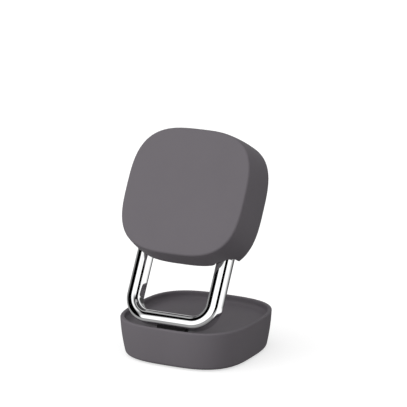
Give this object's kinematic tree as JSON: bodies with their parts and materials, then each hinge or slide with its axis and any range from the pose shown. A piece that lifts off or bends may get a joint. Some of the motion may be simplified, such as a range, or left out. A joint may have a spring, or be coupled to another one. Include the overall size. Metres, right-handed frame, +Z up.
{
  "type": "wireless charging station",
  "caption": "Folding wireless charging station: a soft-cornered square pad slides on a chromed hoop that hinges in a dished square base.",
  "frame": {"origin": "centre of the base's underside, on the table", "axes": "+Z up, -Y to the front, where the pad's face looks, +X to the right of a person who faces the pad's back"},
  "size_m": [0.068, 0.068, 0.1115],
  "materials": {
    "base_soft_touch": "soft-touch coat, fine matte grain",
    "pad_soft_touch": "soft-touch coat, fine matte grain",
    "cover_plastic": "fine matte texture",
    "dark_plastic": "matte",
    "black_plastic": "satin",
    "white_plastic": "matte",
    "shoe_plastic": "matte, low friction",
    "foot_rubber": "matte, non-slip",
    "hoop_chrome": "polished chrome plate",
    "black_metal": "satin black coat",
    "plain_steel": "plain ground steel",
    "screw_steel": "dark plated",
    "spring_steel": "rolled strip",
    "socket_steel": "bright nickel plate",
    "magnet_nickel": "nickel plate",
    "washer_brass": "plain",
    "copper_wire": "enamelled copper wire",
    "ferrite": "sintered, matt",
    "circuit_board": "solder mask"
  },
  "bodies": {
    "base": {"base_shell": "base_soft_touch", "base_bottom_plate": "dark_plastic", "foot_pad": "foot_rubber", "ballast_plate": "plain_steel", "base_circuit_board": "circuit_board", "usb_c_socket": "socket_steel", "usb_c_tongue": "black_plastic", "earbud_coil": "copper_wire", "earbud_ferrite": "ferrite", "hinge_bracket": "black_metal", "bracket_screws": "screw_steel", "base_screws": "screw_steel", "friction_washers": "washer_brass"},
    "hoop": {"hoop": "hoop_chrome", "hinge_pin": "plain_steel", "glide_pads": "black_plastic"},
    "pad": {"pad_front_shell": "pad_soft_touch", "pad_back_cover": "cover_plastic", "guide_block": "dark_plastic", "keeper_plate": "black_metal", "keeper_screws": "screw_steel", "brake_shoe_left": "shoe_plastic", "brake_shoe_right": "shoe_plastic", "brake_spring": "spring_steel", "coil_carrier": "white_plastic", "charging_coil": "copper_wire", "coil_ferrite": "ferrite", "magnet_ring": "magnet_nickel", "pad_circuit_board": "circuit_board", "pad_screws": "screw_steel"}
  },
  "joints": [
    {"name": "hoop_fold", "type": "hinge", "parent": "base", "child": "hoop", "pos_m": [0, -0.0254, 0.0217], "axis": [-1, 0, 0], "range_deg": [0, 58.5]},
    {"name": "pad_slide", "type": "slide", "parent": "hoop", "child": "pad", "axis": [0, -0.4894, -0.8721], "range_m": [0, 0.0215]}
  ]
}
